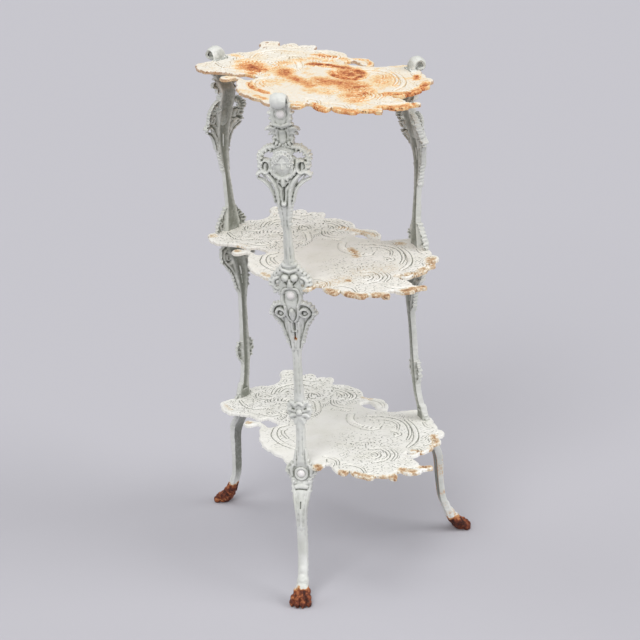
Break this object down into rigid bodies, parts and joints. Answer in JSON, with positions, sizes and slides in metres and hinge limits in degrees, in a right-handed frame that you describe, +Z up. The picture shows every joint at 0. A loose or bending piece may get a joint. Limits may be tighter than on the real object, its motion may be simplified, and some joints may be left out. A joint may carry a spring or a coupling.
{
  "type": "three-tier stand",
  "caption": "Tiered cast-iron plant stand: asymmetrical rocaille shelves bolted to curved legs with scroll cartouches, masks and lion-paw feet.",
  "frame": {"origin": "centre of the bounding box's footprint, on the floor", "axes": "+Z up, -Y towards the front leg, +X to the right seen from the front"},
  "size_m": [0.4276, 0.4232, 0.7695],
  "materials": {
    "painted_leg": "old white oil paint on cast iron, chipped, with rusted paws",
    "painted_shelf": "old white oil paint on cast iron, rust at the rim",
    "weathered_top": "yellowed white paint with orange rust stains",
    "fasteners": "painted over with the casting"
  },
  "bodies": {
    "root": {"front_leg": "painted_leg", "right_leg": "painted_leg", "left_leg": "painted_leg", "bottom_shelf": "painted_shelf", "middle_shelf": "painted_shelf", "top_shelf": "weathered_top", "bottom_front_bolt": "fasteners", "bottom_right_bolt": "fasteners", "bottom_left_bolt": "fasteners", "middle_front_bolt": "fasteners", "middle_right_bolt": "fasteners", "middle_left_bolt": "fasteners", "top_front_bolt": "fasteners", "top_right_bolt": "fasteners", "top_left_bolt": "fasteners", "bottom_front_washer": "fasteners", "bottom_right_washer": "fasteners", "bottom_left_washer": "fasteners", "middle_front_washer": "fasteners", "middle_right_washer": "fasteners", "middle_left_washer": "fasteners", "top_front_washer": "fasteners", "top_right_washer": "fasteners", "top_left_washer": "fasteners", "bottom_front_nut": "fasteners", "bottom_right_nut": "fasteners", "bottom_left_nut": "fasteners", "middle_front_nut": "fasteners", "middle_right_nut": "fasteners", "middle_left_nut": "fasteners", "top_front_nut": "fasteners", "top_right_nut": "fasteners", "top_left_nut": "fasteners"}
  },
  "joints": []
}
